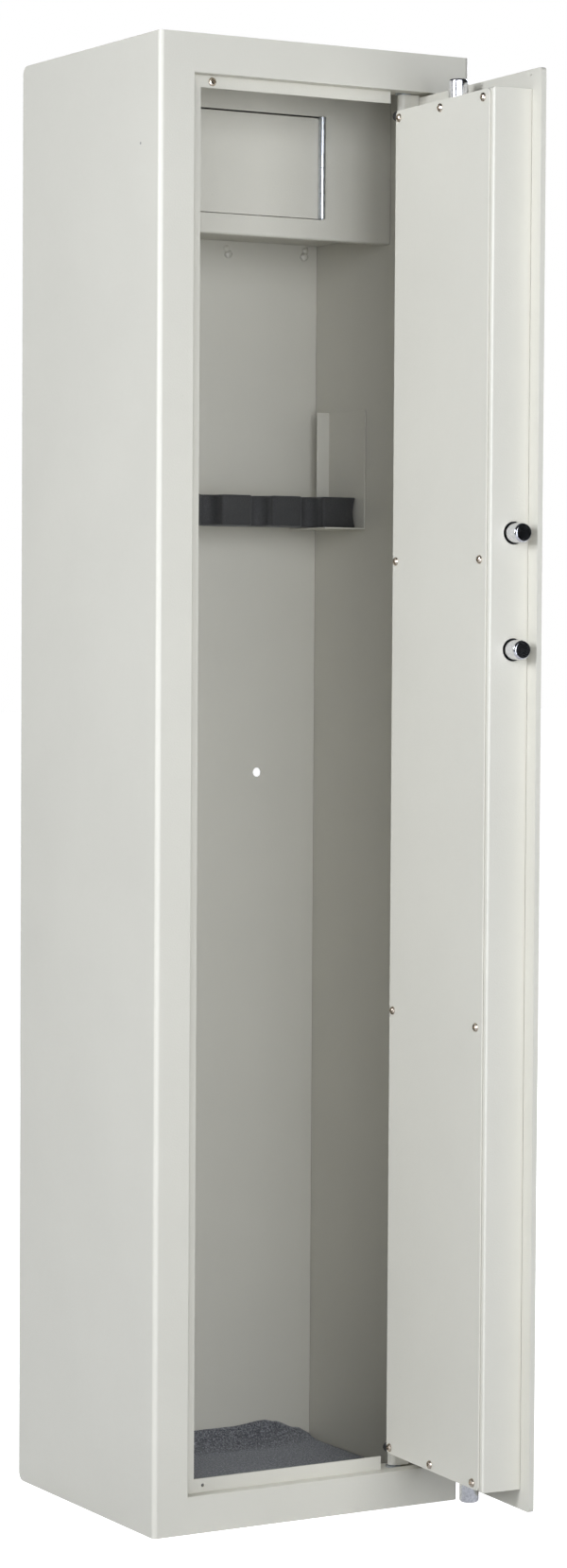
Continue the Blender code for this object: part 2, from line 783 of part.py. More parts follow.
def key_lock():
    near, far = SPINDLE_X - 0.0485, SPINDLE_X + 0.0175
    low, high = 1.0360, 1.1000
    wall = 0.0015
    case = block((near, far), (depth(5.8), depth(22.8)), (low, high))
    hollow = block((near + wall, far - wall), (depth(0.0), depth(21.3)), (low + wall, high - wall))
    bolt_x = (SPINDLE_X - 0.0440, SPINDLE_X - 0.0320)
    slot = block(
        (bolt_x[0] - 0.0004, bolt_x[1] + 0.0004),
        (depth(9.6), depth(18.4)),
        (low - 0.01, low + 0.01),
    )
    case = cut(case, hollow, slot)
    own(case, "lock_case", "zinc", door_pivot)
    tongue = block(bolt_x, (depth(10.0), depth(18.0)), (1.0325, 1.0850))
    own(tongue, "lock_bolt", "steel", door_pivot)

    plate = outline(
        [circle((SPINDLE_X, KEY_Z), 0.016, 32), circle((SPINDLE_X, KEY_Z), 0.0046)],
        0.003,
        "XZ",
        PLATE_Y - GAP - 0.0015,
    )

    def on_outer_rim(p):
        return p.y < PLATE_Y - 0.0032 and math.hypot(p.x - SPINDLE_X, p.z - KEY_Z) > 0.01

    bevel_where(plate, on_outer_rim, 0.001, 2)
    smooth(plate)
    own(plate, "key_escutcheon", "chrome", door_pivot)

    shank = rod("Y", depth(-24.0), depth(19.0), (SPINDLE_X, KEY_Z), 0.0030, 20)
    bit_x = (SPINDLE_X - 0.0011, SPINDLE_X + 0.0011)
    ward_x = (SPINDLE_X - 0.002, SPINDLE_X + 0.002)
    bit = block(bit_x, (depth(9.5), depth(16.5)), (KEY_Z - 0.0095, KEY_Z))
    ward = block(ward_x, (depth(12.4), depth(13.6)), (KEY_Z - 0.012, KEY_Z - 0.006))
    centre = (depth(-34.0), KEY_Z)
    bow = outline(
        [oval(centre, 0.0125, 0.0105, 28), oval(centre, 0.0070, 0.0055, 20)],
        0.003,
        "YZ",
        SPINDLE_X,
    )
    piece = join(shank, cut(bit, ward), bow)
    smooth(piece)
    own(piece, "key", "nickel", key_pivot)


def oval(centre, a, b, sides):
    points = []
    for i in range(sides):
        angle = 2.0 * math.pi * i / sides
        points.append((centre[0] + a * math.cos(angle), centre[1] + b * math.sin(angle)))
    return points


# ---- locker -----------------------------------------------------------------------------------
def locker():
    """The front panel with its lower edge bent back, the shelf a little above that edge, the door."""
    side = HALF_W - SHEET - GAP
    bend = 0.003
    top = HEIGHT - SHEET - GAP
    centre = (LOCKER_Y + bend, LOCKER_Z + bend)
    lip_end = LOCKER_Y + LOCKER_RETURN
    loop = [(LOCKER_Y, top)] + arc(centre, bend, 180, 270) + [(lip_end, LOCKER_Z)]
    loop += [(lip_end, LOCKER_Z + LOCKER_SHEET)]
    loop += arc(centre, bend - LOCKER_SHEET, 270, 180) + [(LOCKER_Y + LOCKER_SHEET, top)]
    panel = outline([loop], 2 * side, "YZ", 0.0)
    doorway = block(
        (LOCKER_DOOR_X0, LOCKER_HINGE_X + 0.0016),
        (LOCKER_Y - 0.01, LOCKER_Y + 0.01),
        (LOCKER_DOOR_Z0, LOCKER_DOOR_Z1),
    )
    panel = cut(panel, doorway)
    smooth(panel)
    own(panel, "locker_front", "paint")
    shelf_z = LOCKER_Z + SHELF_RISE
    shelf = block(
        (-side, side),
        (LOCKER_Y + LOCKER_SHEET + GAP, BACK - SHEET - GAP),
        (shelf_z, shelf_z + LOCKER_SHEET),
    )
    own(shelf, "locker_shelf", "paint")

    border = rounded_rect(
        LOCKER_DOOR_X0 + 0.0010,
        LOCKER_HINGE_X - 0.0016,
        LOCKER_DOOR_Z0 + 0.0006,
        LOCKER_DOOR_Z1 - 0.0016,
        0.0008,
        2,
    )
    leaf = outline(
        [border, circle((CAM_X, CAM_Z), 0.0083)],
        0.002,
        "XZ",
        LOCKER_Y + 0.001,
    )
    own(leaf, "locker_door", "paint", locker_pivot)
    piano_hinge()
    cam_lock()


def piano_hinge():
    """Two leaves standing in the gap beside the door, with alternate knuckles on one pin."""
    low, high = LOCKER_DOOR_Z0 + 0.0006, LOCKER_DOOR_Z1 - 0.0006
    pitch = (high - low) / KNUCKLES
    for name, first, sign, parent in (("fixed", 0, 1, None), ("moving", 1, -1, locker_pivot)):
        near, far = LOCKER_HINGE_X + sign * 0.0004, LOCKER_HINGE_X + sign * 0.0012
        span = (min(near, far), max(near, far))
        clear_y = LOCKER_HINGE_Y + KNUCKLE_R + 0.0004
        leaf = block(span, (clear_y, clear_y + 0.011), (low, high))
        pieces = []
        for k in range(first, KNUCKLES, 2):
            z0, z1 = low + k * pitch + 0.00015, low + (k + 1) * pitch - 0.00015
            pieces.append(rod("Z", z0, z1, (LOCKER_HINGE_X, LOCKER_HINGE_Y), KNUCKLE_R, 20))
            pieces.append(block(span, (LOCKER_HINGE_Y + 0.0016, clear_y + 0.001), (z0, z1)))
        leaf = join(leaf, *pieces)
        bore = rod("Z", low - 0.01, high + 0.01, (LOCKER_HINGE_X, LOCKER_HINGE_Y), 0.0013, 16)
        leaf = cut(leaf, bore)
        smooth(leaf)
        own(leaf, "locker_hinge_leaf_" + name, "zinc", parent)
    pin = rod("Z", low - 0.0005, high + 0.0005, (LOCKER_HINGE_X, LOCKER_HINGE_Y), 0.0010, 16)
    own(pin, "locker_hinge_pin", "zinc")


def cam_lock():
    """A small cam lock: housing in the locker door, turning plug and cam behind it."""
    profile = [
        (0.0095, 0.0),
        (0.0080, 0.0),
        (0.0080, -0.0085),
        (0.0054, -0.0085),
        (0.0054, 0.0022),
        (0.0085, 0.0022),
        (0.0095, 0.0014),
    ]
    housing = turned(profile, "Y", (CAM_X, LOCKER_Y - GAP, CAM_Z), 28, True)
    housing.rotation_euler = (math.pi / 2, 0.0, 0.0)
    smooth(housing)
    own(housing, "locker_lock_housing", "chrome", locker_pivot)
    plug = rod("Y", LOCKER_Y - 0.0022, LOCKER_Y + 0.0098, (CAM_X, CAM_Z), 0.0051, 24)
    slot = block(
        (CAM_X - 0.0005, CAM_X + 0.0005),
        (LOCKER_Y - 0.01, LOCKER_Y + 0.002),
        (CAM_Z - 0.003, CAM_Z + 0.003),
    )
    plug = cut(plug, slot)
    smooth(plug)
    own(plug, "locker_lock_plug", "chrome", cam_pivot)
    arm = arc((CAM_X, CAM_Z), 0.007, 0, 180, 8) + arc((CAM_X, CAM_Z - 0.0225), 0.006, 180, 360, 8)
    cam = outline([arm], 0.0018, "XZ", LOCKER_Y + 0.0098 + GAP + 0.0009)
    smooth(cam)
    own(cam, "locker_lock_cam", "zinc", cam_pivot)


# ---- gun rack and floor --------------------------------------------------------------------------
def rack():
    wall = HALF_W - SHEET - GAP
    thin = 0.0015
    for side, name in ((1, "right"), (-1, "left")):
        def span(a, b):
            return (min(side * a, side * b), max(side * a, side * b))

        plate = block(span(wall - thin, wall), (0.0440, 0.1200), (1.0185, 1.1470))
        rear = block(span(0.1620, wall), (0.1185, 0.1200), (1.0185, 1.1470))
        shelf = block(span(0.1280, wall), (0.0440, 0.1195), (1.0185, 1.0200))
        bracket = join(plate, rear, shelf)
        own(bracket, "rack_bracket_" + name, "paint")
    inner = wall - thin - GAP
    rail = block((-inner, inner), (0.1170, 0.1182), (1.0240, 1.0500))
    own(rail, "rack_rail", "paint")

    loop = [(inner, 0.1167), (-inner, 0.1167)]
    lead = 0.004
    loop += arc((-inner + lead, REST_Y + lead), lead, 180, 270, 3)
    for k in range(-2, 3):
        x = NOTCH_SHIFT + k * NOTCH_PITCH
        loop += arc((x - NOTCH_R - lead, REST_Y + lead), lead, 270, 360, 2)
        loop += arc((x, REST_Y + NOTCH_DEPTH - NOTCH_R), NOTCH_R, 180, 0, 6)
        loop += arc((x + NOTCH_R + lead, REST_Y + lead), lead, 180, 270, 2)
    loop += arc((inner - lead, REST_Y + lead), lead, 270, 360, 3)
    rest = outline([loop], REST_Z1 - REST_Z0, "XY", (REST_Z0 + REST_Z1) / 2)
    smooth(rest)
    own(rest, "barrel_rest", "foam")


def floor_mat():
    """A felt mat cut a little too deep, so its rear edge stands up against the back wall."""
    under = SHEET + GAP
    thick = 0.0065
    rear = BACK - SHEET - 0.0010
    big = 0.016
    centre = (rear - big, under + big)
    loop = [(FRONT + SHEET + 0.004, under)] + arc(centre, big, 270, 360, 6)
    loop += [(rear, 0.0330), (rear - thick, 0.0330)]
    loop += arc(centre, big - thick, 360, 270, 6)
    loop += [(FRONT + SHEET + 0.004, under + thick)]
    mat = outline([loop], WIDTH - 2 * SHEET - 0.004, "YZ", 0.0)
    smooth(mat)
    own(mat, "floor_mat", "felt")


front_and_sides()
back_wrap()
screw("lip_screw", (-0.1145, LIP_Y - GAP, 1.4550), -1, None, 20.0, 0.6)
for which in ("top", "bottom"):
    hinge(which)
door_shell()
handle()
spindle_set()
side_bolts()
rods()
key_lock()
locker()
rack()
floor_mat()
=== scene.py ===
"""Looks of the tall gun safe: paint, plated steel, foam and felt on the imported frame.

Everything is in metres in the part's own frame: +Z up, +Y to the back wall, the origin under the
middle of the cabinet.
"""

import json
import math

import bmesh
import bpy
from mathutils import Matrix, Vector, noise


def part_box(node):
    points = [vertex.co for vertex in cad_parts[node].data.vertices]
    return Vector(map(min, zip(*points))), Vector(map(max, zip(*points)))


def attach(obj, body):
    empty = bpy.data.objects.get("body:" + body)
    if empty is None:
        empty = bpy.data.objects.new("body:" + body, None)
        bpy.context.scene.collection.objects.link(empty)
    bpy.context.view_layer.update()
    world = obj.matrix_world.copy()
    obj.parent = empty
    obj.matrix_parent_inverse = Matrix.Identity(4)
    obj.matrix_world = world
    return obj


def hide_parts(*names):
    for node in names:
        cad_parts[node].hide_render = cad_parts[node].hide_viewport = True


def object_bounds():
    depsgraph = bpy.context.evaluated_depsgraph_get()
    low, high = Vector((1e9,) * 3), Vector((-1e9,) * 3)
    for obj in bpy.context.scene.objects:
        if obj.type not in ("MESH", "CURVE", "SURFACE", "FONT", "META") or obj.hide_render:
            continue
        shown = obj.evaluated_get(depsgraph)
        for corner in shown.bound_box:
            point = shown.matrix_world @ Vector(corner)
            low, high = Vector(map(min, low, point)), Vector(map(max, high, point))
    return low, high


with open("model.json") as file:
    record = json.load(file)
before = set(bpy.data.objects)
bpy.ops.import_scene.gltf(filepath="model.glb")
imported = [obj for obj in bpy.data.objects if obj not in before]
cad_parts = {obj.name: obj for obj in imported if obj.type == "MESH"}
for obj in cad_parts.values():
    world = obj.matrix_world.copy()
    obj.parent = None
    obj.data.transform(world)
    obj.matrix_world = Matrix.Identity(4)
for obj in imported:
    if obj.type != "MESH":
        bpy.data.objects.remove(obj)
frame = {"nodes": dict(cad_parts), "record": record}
cad_low, cad_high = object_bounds()

NODES = frame["nodes"]
BODY_OF = {n: body for body, names in frame["record"]["behaviour"]["bodies"].items() for n in names}
SLOT_OF = {entry["node"]: entry["material_slot"] for entry in frame["record"]["subparts"]}


# ---- materials -------------------------------------------------------------------------
class Shader:
    """A Principled material with short calls for the nodes that feed it."""

    def __init__(self, name, colour, roughness, metallic=0.0, specular=0.5):
        self.mat = bpy.data.materials.new(name)
        self.mat.use_nodes = True
        self.tree = self.mat.node_tree
        self.bsdf = self.tree.nodes["Principled BSDF"]
        self.set("Base Color", (*colour, 1.0))
        self.set("Roughness", roughness)
        self.set("Metallic", metallic)
        self.set("Specular IOR Level", specular)
        self.coords = self.add("ShaderNodeTexCoord").outputs["Object"]
        self.mat.diffuse_color = (*colour, 1.0)

    def set(self, socket, value):
        self.bsdf.inputs[socket].default_value = value

    def add(self, kind, **values):
        node = self.tree.nodes.new(kind)
        for key, value in values.items():
            setattr(node, key, value)
        return node

    def link(self, source, target):
        self.tree.links.new(source, target)

    def noise(self, scale, detail=2.0, rough=0.5, stretch=None):
        node = self.add("ShaderNodeTexNoise")
        node.inputs["Scale"].default_value = scale
        node.inputs["Detail"].default_value = detail
        node.inputs["Roughness"].default_value = rough
        if stretch is None:
            self.link(self.coords, node.inputs["Vector"])
        else:
            mapping = self.add("ShaderNodeMapping")
            mapping.inputs["Scale"].default_value = stretch
            self.link(self.coords, mapping.inputs["Vector"])
            self.link(mapping.outputs["Vector"], node.inputs["Vector"])
        return node.outputs["Fac"]

    def ramp(self, factor, stops):
        node = self.add("ShaderNodeValToRGB")
        ramp = node.color_ramp
        while len(ramp.elements) < len(stops):
            ramp.elements.new(0.5)
        for element, (place, colour) in zip(ramp.elements, stops):
            element.position = place
            element.color = (*colour, 1.0)
        self.link(factor, node.inputs["Fac"])
        return node.outputs["Color"]

    def remap(self, factor, low, high):
        node = self.add("ShaderNodeMapRange")
        node.inputs["To Min"].default_value = low
        node.inputs["To Max"].default_value = high
        self.link(factor, node.inputs["Value"])
        return node.outputs["Result"]

    def mix(self, factor, first, second):
        node = self.add("ShaderNodeMix", data_type="RGBA")
        self.link(factor, node.inputs["Factor"])
        self.link(first, node.inputs["A"])
        if isinstance(second, tuple):
            node.inputs["B"].default_value = (*second, 1.0)
        else:
            self.link(second, node.inputs["B"])
        return node.outputs["Result"]

    def bump(self, height, distance, strength=1.0, below=None):
        node = self.add("ShaderNodeBump")
        node.inputs["Distance"].default_value = distance
        node.inputs["Strength"].default_value = strength
        self.link(height, node.inputs["Height"])
        if below is not None:
            self.link(below, node.inputs["Normal"])
        return node.outputs["Normal"]

    def near(self, place, radius, soft):
        """1 within a radius of a point of the object, fading to 0 over a soft edge."""
        away = self.add("ShaderNodeVectorMath", operation="DISTANCE")
        self.link(self.coords, away.inputs[0])
        away.inputs[1].default_value = place
        fade = self.add("ShaderNodeMapRange")
        fade.inputs["From Min"].default_value = radius
        fade.inputs["From Max"].default_value = radius + soft
        fade.inputs["To Min"].default_value = 1.0
        fade.inputs["To Max"].default_value = 0.0
        self.link(away.outputs["Value"], fade.inputs["Value"])
        return fade.outputs["Result"]

    def feed(self, socket, source):
        self.link(source, self.bsdf.inputs[socket])


LIGHT_TINT = (0.960, 1.0, 1.090)
PAINT = (0.570, 0.550, 0.474)


def paint(name, marks=()):
    """Textured powder coat: a fine orange peel, slightly uneven gloss and barely cloudy colour."""
    s = Shader(name, PAINT, 0.42, 0.0, 0.45)
    cloud = s.noise(7.0, 3.0)
    dim = tuple(c * 0.965 for c in PAINT)
    colour = s.ramp(cloud, [(0.3, dim), (0.7, PAINT)])
    specks = s.noise(420.0, 1.0)
    speck_mask = s.ramp(specks, [(0.80, (0.0, 0.0, 0.0)), (0.86, (1.0, 1.0, 1.0))])
    colour = s.mix(speck_mask, colour, (0.43, 0.425, 0.36))
    for place, radius, tint in marks:
        colour = s.mix(s.near(place, radius, radius * 0.5), colour, tint)
    s.feed("Base Color", colour)
    s.feed("Roughness", s.remap(s.noise(160.0, 3.0), 0.34, 0.52))
    peel = s.bump(s.noise(620.0, 2.0, 0.6), 0.00022, 0.55)
    s.feed("Normal", s.bump(s.noise(2100.0, 1.0), 0.00006, 0.4, peel))
    return s.mat


def plated(name, colour, low, high, scratch=0.00002, stretch=(1.0, 1.0, 1.0), scale=900.0):
    """Plated or polished steel, with roughness that wanders and fine marks."""
    s = Shader(name, colour, (low + high) / 2, 1.0)
    stain = s.noise(140.0, 4.0, 0.6)
    dull = tuple(c * 0.82 for c in colour)
    s.feed("Base Color", s.ramp(stain, [(0.35, dull), (0.65, colour)]))
    s.feed("Roughness", s.remap(s.noise(260.0, 3.0), low, high))
    s.feed("Normal", s.bump(s.noise(scale, 2.0, 0.6, stretch), scratch, 0.6))
    return s.mat


def bolt_chrome(name):
    """Chrome over a turned bar: bright, with darker stains, fine nicks and uneven gloss."""
    s = Shader(name, (0.86, 0.86, 0.88), 0.10, 1.0)
    fine = s.noise(520.0, 3.0, 0.65)
    s.feed("Base Color", s.ramp(fine, [(0.30, (0.55, 0.55, 0.58)), (0.62, (0.86, 0.86, 0.88))]))
    s.feed("Roughness", s.remap(s.noise(300.0, 3.0), 0.05, 0.22))
    s.feed("Normal", s.bump(s.noise(750.0, 3.0, 0.7), 0.00005, 0.7))
    return s.mat


def foam(name):
    s = Shader(name, (0.034, 0.033, 0.032), 0.8, 0.0, 0.35)
    s.set("Sheen Weight", 0.25)
    s.set("Sheen Roughness", 0.5)
    s.set("Sheen Tint", (0.8, 0.8, 0.8, 1.0))
    grain = s.noise(900.0, 3.0, 0.65)
    s.feed("Base Color", s.ramp(grain, [(0.30, (0.020, 0.020, 0.019)), (0.70, (0.050, 0.049, 0.047))]))
    s.feed("Roughness", s.remap(s.noise(60.0, 2.0), 0.62, 0.88))
    skin = s.bump(s.noise(130.0, 3.0, 0.6), 0.0006, 0.5)
    s.feed("Normal", s.bump(grain, 0.00025, 0.7, skin))
    return s.mat


def felt(name):
    s = Shader(name, (0.14, 0.14, 0.15), 0.95, 0.0, 0.2)
    s.set("Sheen Weight", 0.35)
    s.set("Sheen Roughness", 0.6)
    s.set("Sheen Tint", (0.85, 0.87, 0.9, 1.0))
    fibre = s.noise(520.0, 4.0, 0.75)
    tone = s.ramp(
        fibre,
        [(0.34, (0.030, 0.031, 0.035)), (0.50, (0.115, 0.117, 0.125)), (0.66, (0.36, 0.365, 0.38))],
    )
    lint = s.ramp(s.noise(260.0, 2.0, 0.4), [(0.735, (0.0, 0.0, 0.0)), (0.76, (1.0, 1.0, 1.0))])
    s.feed("Base Color", s.mix(lint, tone, (0.42, 0.43, 0.43)))
    tuft = s.bump(s.noise(240.0, 3.0, 0.7), 0.0012, 0.7)
    s.feed("Normal", s.bump(fibre, 0.0008, 0.9, tuft))
    return s.mat


def plain(name, colour, roughness, specular=0.5, scale=700.0, depth=0.00008):
    """Rubber or moulded plastic with a fine skin."""
    s = Shader(name, colour, roughness, 0.0, specular)
    s.feed("Roughness", s.remap(s.noise(200.0, 3.0), roughness - 0.08, roughness + 0.08))
    s.feed("Normal", s.bump(s.noise(scale, 2.0), depth, 0.6))
    return s.mat


LEFT_WALL = cad_low.x
MATERIALS = {
    "cabinet_paint": paint("paint_cabinet", [((LEFT_WALL, -0.112, 1.3926), 0.0011, (0.22, 0.22, 0.20))]),
    "nickel": plated("nickel_screw", (0.66, 0.57, 0.47), 0.16, 0.34),
    "zinc_steel": plated("zinc_plate", (0.70, 0.74, 0.79), 0.22, 0.42, 0.00004),
    "chrome": plated("chrome_plate", (0.86, 0.86, 0.87), 0.05, 0.14),
    "bare_steel": plated("ground_steel", (0.55, 0.56, 0.57), 0.30, 0.45, 0.00006, (1.0, 1.0, 12.0)),
    "brass": plated("turned_brass", (0.76, 0.58, 0.26), 0.20, 0.36),
    "foam": foam("moulded_foam"),
    "felt": felt("needle_felt"),
    "black_rubber": plain("black_rubber", (0.014, 0.014, 0.014), 0.55),
    "black_plastic": plain("black_nylon", (0.022, 0.022, 0.024), 0.42),
}
BOLT_CHROME = bolt_chrome("chrome_bolt")


# ---- refining the frame's own shapes ------------------------------------------------------
def new_piece(name, mesh, body, material, slot, *replaced):
    obj = bpy.data.objects.new(name, mesh)
    bpy.context.scene.collection.objects.link(obj)
    obj.data.materials.clear()
    obj.data.materials.append(material)
    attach(obj, body)
    if replaced:
        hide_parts(*replaced)
    return obj


def baked(obj):
    """The mesh an object evaluates to, without its modifiers."""
    bpy.context.view_layer.update()
    graph = bpy.context.evaluated_depsgraph_get()
    return bpy.data.meshes.new_from_object(obj.evaluated_get(graph))


def refined(node, width, segments=2, limit=28.0, material=None):
    """A copy of a node with its flat faces made whole and its sharp edges rounded."""
    mesh = NODES[node].data.copy()
    bm = bmesh.new()
    bm.from_mesh(mesh)
    bmesh.ops.remove_doubles(bm, verts=bm.verts, dist=0.000002)
    bmesh.ops.dissolve_limit(bm, angle_limit=math.radians(0.4), verts=bm.verts, edges=bm.edges)
    bm.to_mesh(mesh)
    bm.free()
    rough = bpy.data.objects.new(node + "_rough", mesh)
    bpy.context.scene.collection.objects.link(rough)
    mesh.shade_smooth()
    bevel = rough.modifiers.new("round", "BEVEL")
    bevel.width = width
    bevel.segments = segments
    bevel.limit_method = "ANGLE"
    bevel.angle_limit = math.radians(limit)
    even = rough.modifiers.new("even", "WEIGHTED_NORMAL")
    even.mode = "FACE_AREA"
    even.weight = 100
    fine = baked(rough)
    bpy.data.objects.remove(rough)
    slot = SLOT_OF[node]
    return new_piece(node + "_finish", fine, BODY_OF[node], material or MATERIALS[slot], slot, node)


for node, obj in NODES.items():
    obj.data.materials.clear()
    obj.data.materials.append(MATERIALS[SLOT_OF[node]])
    obj.data.shade_smooth()
    obj.data.set_sharp_from_angle(angle=math.radians(32.0))

for node, width in (
    ("body_front_sides", 0.0005),
    ("body_top_back_bottom", 0.0004),
    ("door_plate", 0.0008),
    ("door_box", 0.0005),
    ("door_cover", 0.0006),
    ("locker_front", 0.0004),
    ("locker_shelf", 0.0004),
    ("locker_door", 0.0004),
    ("rack_bracket_left", 0.0004),
    ("rack_bracket_right", 0.0004),
    ("hinge_strap_top", 0.0008),
    ("hinge_strap_bottom", 0.0008),
):
    refined(node, width, 2)
for node in ("side_bolt_upper", "side_bolt_lower", "top_bolt", "bottom_bolt"):
    refined(node, 0.0004, 2, 20.0, BOLT_CHROME)


# ---- barrel rest ------------------------------------------------------------------------------
def arc(centre, radius, start, end, steps):
    points = []
    for i in range(steps + 1):
        a = math.radians(start + (end - start) * i / steps)
        points.append((centre[0] + radius * math.cos(a), centre[1] + radius * math.sin(a)))
    return points


def line(a, b, steps):
    """The points between a and b, without its ends."""
    points = []
    for i in range(1, steps):
        points.append((a[0] + (b[0] - a[0]) * i / steps, a[1] + (b[1] - a[1]) * i / steps))
    return points


def barrel_rest():
    """Moulded foam with five U notches, soft edges and end faces that pull in at mid height."""
    low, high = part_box("barrel_rest")
    lead, radius, depth, pitch, shift = 0.004, 0.012, 0.021, 0.062, -0.0025
    left, right, front, back = low.x, high.x, low.y, high.y
    loop = arc((left + lead, front + lead), lead, 180, 270, 5)
    for k in range(-2, 3):
        x = shift + k * pitch
        loop += line(loop[-1], (x - radius - lead, front), 9)
        loop += arc((x - radius - lead, front + lead), lead, 270, 360, 5)
        loop += arc((x, front + depth - radius), radius, 180, 0, 18)
        loop += arc((x + radius + lead, front + lead), lead, 180, 270, 5)
    loop += line(loop[-1], (right - lead, front), 9)
    loop += arc((right - lead, front + lead), lead, 270, 360, 5)
    loop += line(loop[-1], (right, back), 10) + [(right, back)]
    loop += line((right, back), (left, back), 60) + [(left, back)]
    loop += line((left, back), loop[0], 10)
    count = len(loop)
    normals = []
    for i in range(count):
        ax, ay = loop[i - 1]
        bx, by = loop[(i + 1) % count]
        size = math.hypot(bx - ax, by - ay) or 1.0
        normals.append(((by - ay) / size, (ax - bx) / size))
    edge = 0.0018
    rounding = []
    for i in range(4):
        a = math.radians(30 * i)
        rounding.append((edge * (1 - math.cos(a)), edge * (1 - math.sin(a))))
    rings = [(low.z + rise, inset) for rise, inset in rounding]
    for i in range(1, 12):
        rings.append((low.z + edge + (high.z - low.z - 2 * edge) * i / 12, 0.0))
    rings += [(high.z - rise, inset) for rise, inset in reversed(rounding)]
    middle, half = (low.z + high.z) / 2, (high.z - low.z) / 2
    bm = bmesh.new()
    layers = []
    for z, inset in rings:
        waist = 1.0 - ((z - middle) / half) ** 2
        layer = []
        for (x, y), (nx, ny) in zip(loop, normals):
            px, py = x - nx * inset, y - ny * inset
            nearness = max(0.0, (abs(x) - (right - 0.030)) / 0.030)
            px -= math.copysign(0.0030 * waist * nearness**3, x)
            lump = noise.noise(Vector((px * 55.0, py * 55.0, z * 55.0)))
            px -= nx * (0.00035 + 0.0004 * lump)
            py -= ny * (0.00035 + 0.0004 * lump)
            layer.append(bm.verts.new((px, py, z)))
        layers.append(layer)
    for lower, upper in zip(layers, layers[1:]):
        for i in range(count):
            j = (i + 1) % count
            bm.faces.new((lower[i], lower[j], upper[j], upper[i]))
    bm.faces.new(layers[-1])
    bm.faces.new(reversed(layers[0]))
    bmesh.ops.recalc_face_normals(bm, faces=bm.faces)
    mesh = bpy.data.meshes.new("barrel_rest_foam")
    bm.to_mesh(mesh)
    bm.free()
    mesh.shade_smooth()
    mesh.set_sharp_from_angle(angle=math.radians(50.0))
    rest = new_piece("barrel_rest_foam", mesh, "cabinet", MATERIALS["foam"], "foam", "barrel_rest")


# ---- floor mat --------------------------------------------------------------------------------
# Across the cabinet, and how high the mat's rear edge stands there.
REAR_RISE = (
    (-0.180, 0.024),
    (-0.060, 0.029),
    (0.075, 0.030),
    (0.118, 0.034),
    (0.131, 0.031),
    (0.159, 0.021),
    (0.180, 0.012),
)


def rear_height(x):
    for (x0, h0), (x1, h1) in zip(REAR_RISE, REAR_RISE[1:]):
        if x <= x1:
            t = (x - x0) / (x1 - x0)
            t = t * t * (3.0 - 2.0 * t)
            return h0 + (h1 - h0) * t
    return REAR_RISE[-1][1]


def floor_mat():
    """A felt mat a little too long: its rear edge climbs the back wall in a soft wave."""
    low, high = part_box("floor_mat")
    thick, columns, rows = 0.0062, 150, 130
    rear = high.y - 0.0010
    bm = bmesh.new()
    grid = []
    for i in range(columns + 1):
        x = low.x + 0.001 + (high.x - low.x - 0.002) * i / columns
        top = rear_height(x)
        climb = max(top - low.z - thick, 0.0005)
        run = 0.020 + 0.6 * climb
        line_points = []
        for j in range(rows + 1):
            t = j / rows
            y = low.y + 0.002 + (rear - low.y - 0.002) * t
            lift = max(0.0, (y - (rear - run)) / run)
            z = low.z + thick + climb * (lift**2.4)
            z += 0.0011 * noise.noise(Vector((x * 14.0, y * 14.0, 3.0))) + 0.0011
            z += 0.00045 * noise.noise(Vector((x * 420.0, y * 420.0, 9.0)))
            line_points.append(bm.verts.new((x, y - 0.0008 * lift, z)))
        grid.append(line_points)
    for i in range(columns):
        for j in range(rows):
            bm.faces.new((grid[i][j], grid[i + 1][j], grid[i + 1][j + 1], grid[i][j + 1]))
    mesh = bpy.data.meshes.new("mat_surface")
    bm.to_mesh(mesh)
    bm.free()
    mesh.shade_smooth()
    sheet = bpy.data.objects.new("mat_surface", mesh)
    bpy.context.scene.collection.objects.link(sheet)
    solid = sheet.modifiers.new("thickness", "SOLIDIFY")
    solid.thickness = thick - 0.0012
    solid.offset = -1.0
    thickened = baked(sheet)
    bpy.data.objects.remove(sheet)
    thickened.shade_smooth()
    new_piece("floor_mat_felt", thickened, "cabinet", MATERIALS["felt"], "felt", "floor_mat")


# ---- weld tacks under the locker shelf ------------------------------------------------------------
SHEET = 0.002


def weld_tacks():
    """Small painted-over weld beads on the back wall, a little below the shelf."""
    bm = bmesh.new()
    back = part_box("body_top_back_bottom")[1].y - SHEET
    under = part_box("locker_shelf")[0].z
    for x, drop, size in (
        (0.0667, 0.0140, 0.0044),
        (0.0648, 0.0080, 0.0034),
        (0.1621, 0.0120, 0.0046),
        (0.1640, 0.0055, 0.0036),
    ):
        made = bmesh.ops.create_icosphere(bm, subdivisions=3, radius=size)
        for vert in made["verts"]:
            p = vert.co.copy()
            swell = 1.0 + 0.30 * noise.noise(p * 500.0)
            inward = min(p.y * swell * 0.6, 0.0008)
            vert.co = Vector((x + p.x * swell * 1.1, back + inward, under - drop + p.z * swell))
    mesh = bpy.data.meshes.new("weld_tacks")
    bm.to_mesh(mesh)
    bm.free()
    mesh.shade_smooth()
    new_piece("weld_tacks", mesh, "cabinet", MATERIALS["cabinet_paint"], "cabinet_paint")


barrel_rest()
floor_mat()
weld_tacks()


